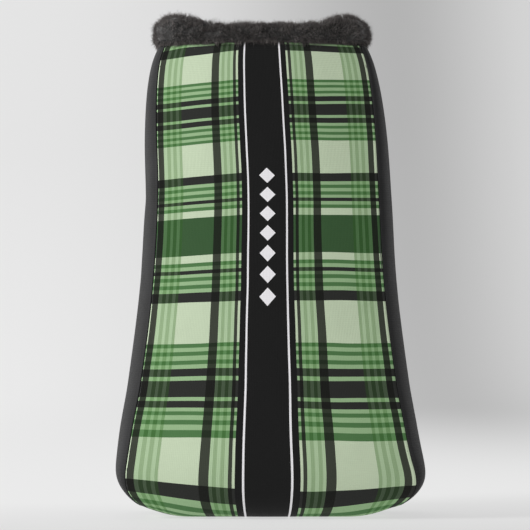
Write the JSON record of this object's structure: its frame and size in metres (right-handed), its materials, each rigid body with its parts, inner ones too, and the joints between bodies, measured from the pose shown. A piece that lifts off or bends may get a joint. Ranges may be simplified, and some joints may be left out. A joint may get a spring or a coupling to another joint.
{
  "type": "driver head cover",
  "caption": "Padded slip-on cover for a golf driver's head: a plaid band, plain side panels, a fleece lining and a fur cuff at the mouth.",
  "frame": {"origin": "centre of the flat that the cover stands on, under its crown end", "axes": "+Z from the crown end up to the mouth; -Y out of the front of the printed band; +X to the right seen from the front"},
  "size_m": [0.1724, 0.1112, 0.28],
  "materials": {
    "printed_cloth": "matte, plaid print",
    "black_cloth": "matte",
    "fur": "long pile",
    "foam": "matte",
    "fleece": "short pile",
    "elastic": "matte, ribbed",
    "sewing_thread": "satin"
  },
  "bodies": {
    "root": {"printed_band": "printed_cloth", "left_side_panel": "black_cloth", "right_side_panel": "black_cloth", "fur_cuff": "fur", "band_foam": "foam", "left_side_foam": "foam", "right_side_foam": "foam", "band_lining": "fleece", "left_side_lining": "fleece", "right_side_lining": "fleece", "mouth_elastic": "elastic", "left_seam_thread": "sewing_thread", "right_seam_thread": "sewing_thread", "left_lining_thread": "sewing_thread", "right_lining_thread": "sewing_thread", "cuff_thread": "sewing_thread"}
  },
  "joints": []
}
